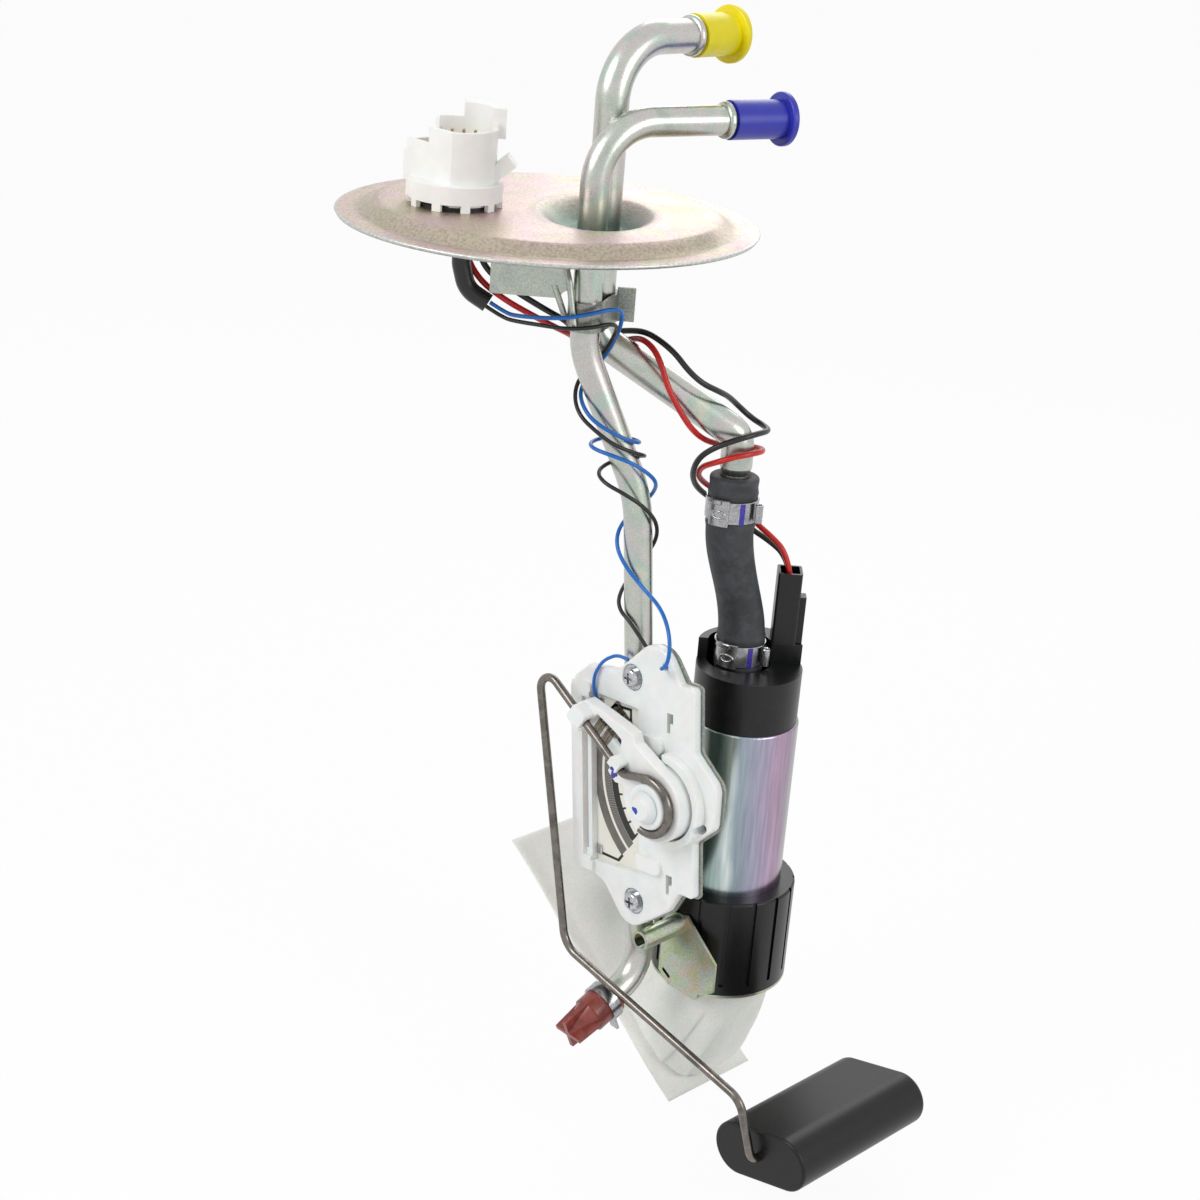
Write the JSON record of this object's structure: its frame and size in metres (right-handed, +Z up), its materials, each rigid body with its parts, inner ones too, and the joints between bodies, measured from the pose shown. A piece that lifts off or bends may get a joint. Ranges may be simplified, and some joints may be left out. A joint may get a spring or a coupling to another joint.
{
  "type": "fuel pump module",
  "caption": "In-tank fuel pump module: round flange with two capped pipes and a socket, hanging electric pump with strainer sock, and a level sender with float arm.",
  "frame": {"origin": "centre of the flange, on the underside of its rim, where it sits on the tank", "axes": "+Z up out of the tank, along the flange's axis; the level sender faces -Y and its float swings in the XZ plane, with the float arm's pivot along Y"},
  "size_m": [0.2149, 0.1451, 0.3762],
  "materials": {
    "zinc_flange": "satin zinc passivate",
    "tube_steel": "satin zinc passivate with a drawn grain",
    "strap_steel": "satin",
    "hanger_steel": "grainy zinc",
    "white_nylon": "satin",
    "black_rubber": "matte",
    "brass_blade": "satin",
    "black_sleeve": "satin",
    "blue_insulation": "satin",
    "black_insulation": "satin",
    "red_insulation": "satin",
    "blue_cap_plastic": "satin",
    "yellow_cap_plastic": "translucent satin",
    "pump_steel": "smooth zinc",
    "black_nylon": "satin",
    "hose_rubber": "dusty matte",
    "clamp_steel": "satin",
    "ferrite": "matte",
    "armature_steel": "varnished",
    "shaft_steel": "ground",
    "copper": "satin",
    "carbon": "matte",
    "stage_plastic": "matte",
    "ring_rubber": "matte",
    "bracket_steel": "yellow-green zinc passivate",
    "sender_nylon": "translucent satin",
    "card_ceramic": "fired ceramic",
    "solder": "bright",
    "screw_chrome": "polished",
    "contact_alloy": "satin",
    "arm_wire": "drawn",
    "float_foam": "closed-cell foam",
    "woven_mesh": "fine woven mesh",
    "valve_rubber": "matte"
  },
  "bodies": {
    "module": {"flange_plate": "zinc_flange", "return_tube": "tube_steel", "supply_tube": "tube_steel", "tube_strap": "strap_steel", "hanger_bracket": "hanger_steel", "connector_body": "white_nylon", "connector_gasket": "black_rubber", "connector_terminals": "brass_blade", "wire_sleeve": "black_sleeve", "blue_wire": "blue_insulation", "thin_black_wire": "black_insulation", "red_wire": "red_insulation", "thick_black_wire": "black_insulation", "card_lead": "blue_insulation", "pump_shell": "pump_steel", "pump_end_cap": "black_nylon", "pump_plug": "black_nylon", "pump_terminals": "brass_blade", "outlet_hose": "hose_rubber", "upper_hose_clamp": "clamp_steel", "lower_hose_clamp": "clamp_steel", "motor_magnets": "ferrite", "brushes": "carbon", "brush_holders": "brass_blade", "shaft_bushes": "copper", "stage_housing": "stage_plastic", "inlet_cover": "black_nylon", "isolator_ring": "ring_rubber", "pump_bracket": "bracket_steel", "sender_plate": "zinc_flange", "sender_housing": "sender_nylon", "resistor_card": "card_ceramic", "card_lugs": "solder", "sender_screws": "screw_chrome", "pivot_boss": "sender_nylon", "strainer_sock": "woven_mesh", "strainer_collar": "black_nylon", "check_valve": "valve_rubber", "valve_clamp": "clamp_steel"},
    "arm": {"wiper_rotor": "sender_nylon", "wiper_contacts": "contact_alloy", "float_arm": "arm_wire"},
    "float": {"float": "float_foam"},
    "pump_rotor": {"armature": "armature_steel", "motor_shaft": "shaft_steel", "commutator": "copper", "impeller": "stage_plastic"},
    "blue_cap": {"blue_cap": "blue_cap_plastic"},
    "yellow_cap": {"yellow_cap": "yellow_cap_plastic"}
  },
  "joints": [
    {"name": "float_arm_hinge", "type": "hinge", "parent": "module", "child": "arm", "pos_m": [0.0678, -0.002, -0.1798], "axis": [0, -1, 0], "range_deg": [0, 80]},
    {"name": "float_swivel", "type": "hinge", "parent": "arm", "child": "float", "pos_m": [0.128, 0.0331, -0.2845], "axis": [0, 1, 0], "continuous": true},
    {"name": "pump_rotor_spin", "type": "hinge", "parent": "module", "child": "pump_rotor", "pos_m": [0.0574, 0.0534, -0.21], "axis": [0, 0, 1], "continuous": true},
    {"name": "blue_cap_pull", "type": "slide", "parent": "module", "child": "blue_cap", "axis": [0.2317, 0.9728, 0], "range_m": [0, 0.025]},
    {"name": "yellow_cap_pull", "type": "slide", "parent": "module", "child": "yellow_cap", "axis": [0.0105, 0.9999, 0], "range_m": [0, 0.025]}
  ]
}
